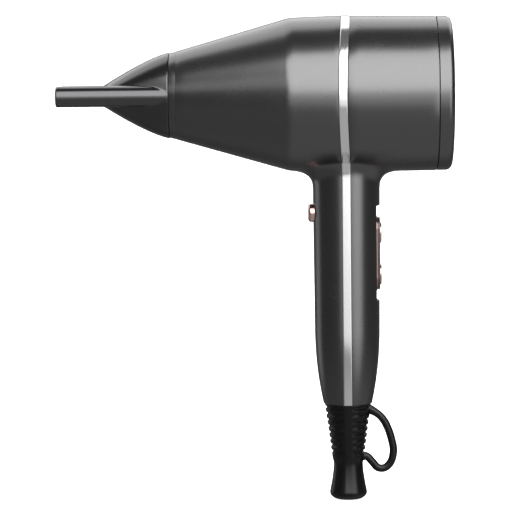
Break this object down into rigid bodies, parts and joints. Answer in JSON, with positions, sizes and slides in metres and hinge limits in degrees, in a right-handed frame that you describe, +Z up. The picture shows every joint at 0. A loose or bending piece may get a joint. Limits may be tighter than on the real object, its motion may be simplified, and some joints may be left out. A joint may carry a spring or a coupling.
{
  "type": "hair dryer",
  "caption": "Pistol grip hair dryer with a round barrel, bright band around barrel and handle, flat slot nozzle, push buttons and a ribbed cord sleeve with a hanging loop.",
  "frame": {"origin": "middle of the cord inlet's mouth in the foot of the rubber sleeve, on the handle's axis", "axes": "+Z up the handle, +X towards the air intake, so the nozzle points along -X and the buttons' sides are +X and -X"},
  "size_m": [0.2266, 0.0906, 0.2808],
  "materials": {
    "graphite_abs": "satin metallic paint over moulded ABS",
    "graphite_gloss": "smoother metallic paint over moulded nylon",
    "bright_chrome": "bright plated",
    "rose_gold": "bright rose gold plated",
    "dark_plate": "dark glossy moulding",
    "black_nylon": "moulded",
    "black_rubber": "moulded rubber",
    "black_silicone": "moulded silicone",
    "steel_mesh": "woven fine wire",
    "plated_steel": "zinc plated",
    "sintered_bronze": "oil filled sintered bronze",
    "nichrome": "oxidised wire",
    "mica": "pressed mica sheet",
    "ceramic_white": "fired ceramic sleeve",
    "copper_winding": "enamelled copper on steel laminations",
    "circuit_board": "glass fibre board",
    "capacitor_film": "dipped film capacitor"
  },
  "bodies": {
    "housing": {"front_shell": "graphite_abs", "rear_shell": "graphite_abs", "trim_band": "bright_chrome", "outlet_collar": "graphite_abs", "outlet_grille": "black_nylon", "control_rim": "rose_gold", "control_plate": "dark_plate", "cord_sleeve": "black_rubber", "hanging_loop": "black_rubber", "heater_tube": "mica", "heater_core": "mica", "heater_coil": "nichrome", "thermostat": "plated_steel", "thermal_fuse": "ceramic_white", "ion_generator": "black_nylon", "ion_emitter": "plated_steel", "fan_housing": "black_nylon", "motor_ring": "black_silicone", "motor_can": "plated_steel", "field_core": "plated_steel", "front_bearing": "sintered_bronze", "rear_bearing": "sintered_bronze", "speed_spring": "plated_steel", "temperature_spring": "plated_steel", "cold_shot_spring": "plated_steel", "switch_board": "circuit_board", "speed_switch": "black_nylon", "temperature_switch": "black_nylon", "cold_shot_switch": "black_nylon", "capacitor": "capacitor_film", "wire_loom": "black_silicone", "cord_clamp": "black_nylon", "clamp_screws": "plated_steel", "shell_screw": "plated_steel"},
    "fan_rotor": {"impeller": "black_nylon", "motor_shaft": "plated_steel", "rotor_core": "copper_winding"},
    "rear_filter": {"filter_cap": "graphite_abs", "intake_grille": "black_nylon", "filter_mesh": "steel_mesh"},
    "nozzle_swivel": {"nozzle_ring": "black_silicone"},
    "nozzle": {"nozzle": "graphite_gloss"},
    "speed_key": {"speed_button": "rose_gold"},
    "temperature_key": {"temperature_button": "rose_gold"},
    "cold_shot_key": {"cold_shot_button": "rose_gold"}
  },
  "joints": [
    {"name": "fan_spin", "type": "hinge", "parent": "housing", "child": "fan_rotor", "pos_m": [0.02, 0, 0.2355], "axis": [1, 0, 0], "continuous": true},
    {"name": "filter_pull", "type": "slide", "parent": "housing", "child": "rear_filter", "axis": [1, 0, 0], "range_m": [0, 0.012]},
    {"name": "nozzle_turn", "type": "hinge", "parent": "housing", "child": "nozzle_swivel", "pos_m": [-0.105, 0, 0.2355], "axis": [1, 0, 0], "continuous": true},
    {"name": "nozzle_pull", "type": "slide", "parent": "nozzle_swivel", "child": "nozzle", "axis": [-1, 0, 0], "range_m": [0, 0.012]},
    {"name": "speed_press", "type": "slide", "parent": "housing", "child": "speed_key", "axis": [-1, 0, 0], "range_m": [0, 0.0008], "stiffness_N_per_m": 400, "springref_m": -0.002, "deforming": ["speed_spring"]},
    {"name": "temperature_press", "type": "slide", "parent": "housing", "child": "temperature_key", "axis": [-1, 0, 0], "range_m": [0, 0.0008], "stiffness_N_per_m": 400, "springref_m": -0.002, "deforming": ["temperature_spring"]},
    {"name": "cold_shot_press", "type": "slide", "parent": "housing", "child": "cold_shot_key", "axis": [1, 0, 0], "range_m": [0, 0.0016], "stiffness_N_per_m": 400, "springref_m": -0.002, "deforming": ["cold_shot_spring"]}
  ]
}
